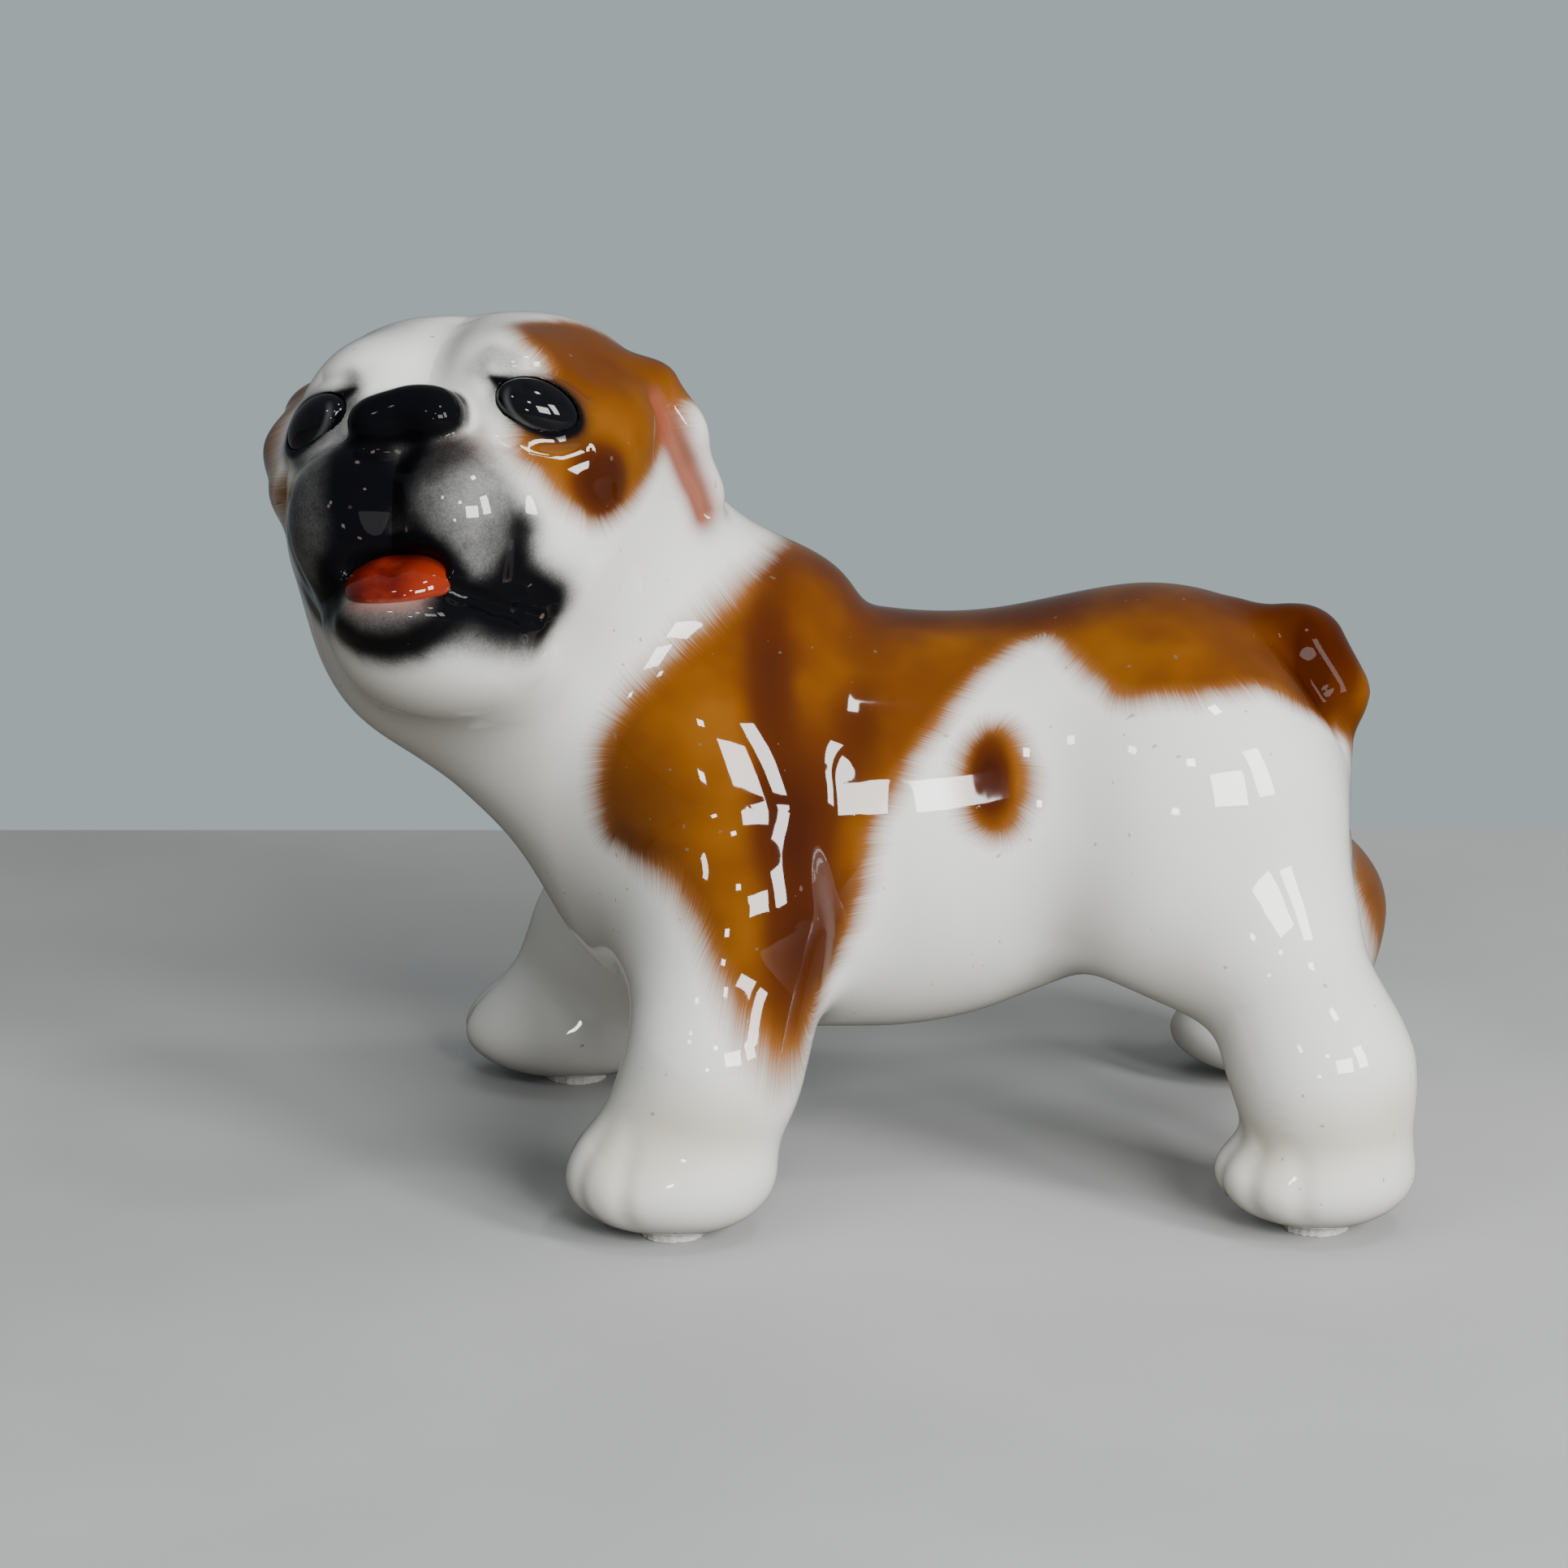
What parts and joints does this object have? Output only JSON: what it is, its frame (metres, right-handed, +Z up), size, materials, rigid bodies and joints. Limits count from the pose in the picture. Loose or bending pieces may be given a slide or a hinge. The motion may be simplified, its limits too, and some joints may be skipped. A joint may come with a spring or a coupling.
{
  "type": "ceramic dog figurine",
  "caption": "Glossy white and brown ceramic bulldog puppy figurine standing on four felt pads, head raised and turned to its left, mouth open.",
  "frame": {"origin": "on the ground under the centre of the bounding box", "axes": "+Z up; the dog's body points along -X with its tail at +X; its left side faces -Y"},
  "size_m": [0.3382, 0.2083, 0.2569],
  "materials": {
    "white_glaze": "gloss",
    "brown_glaze": "gloss",
    "black_glaze": "gloss",
    "red_glaze": "gloss",
    "felt": "matte"
  },
  "bodies": {
    "root": {"body_shell": "white_glaze", "head_shell": "white_glaze", "ear_left": "brown_glaze", "ear_right": "brown_glaze", "tail": "brown_glaze", "eye_left": "black_glaze", "eye_right": "black_glaze", "tongue": "red_glaze", "foot_pad_front_left": "felt", "foot_pad_front_right": "felt", "foot_pad_rear_left": "felt", "foot_pad_rear_right": "felt"}
  },
  "joints": []
}
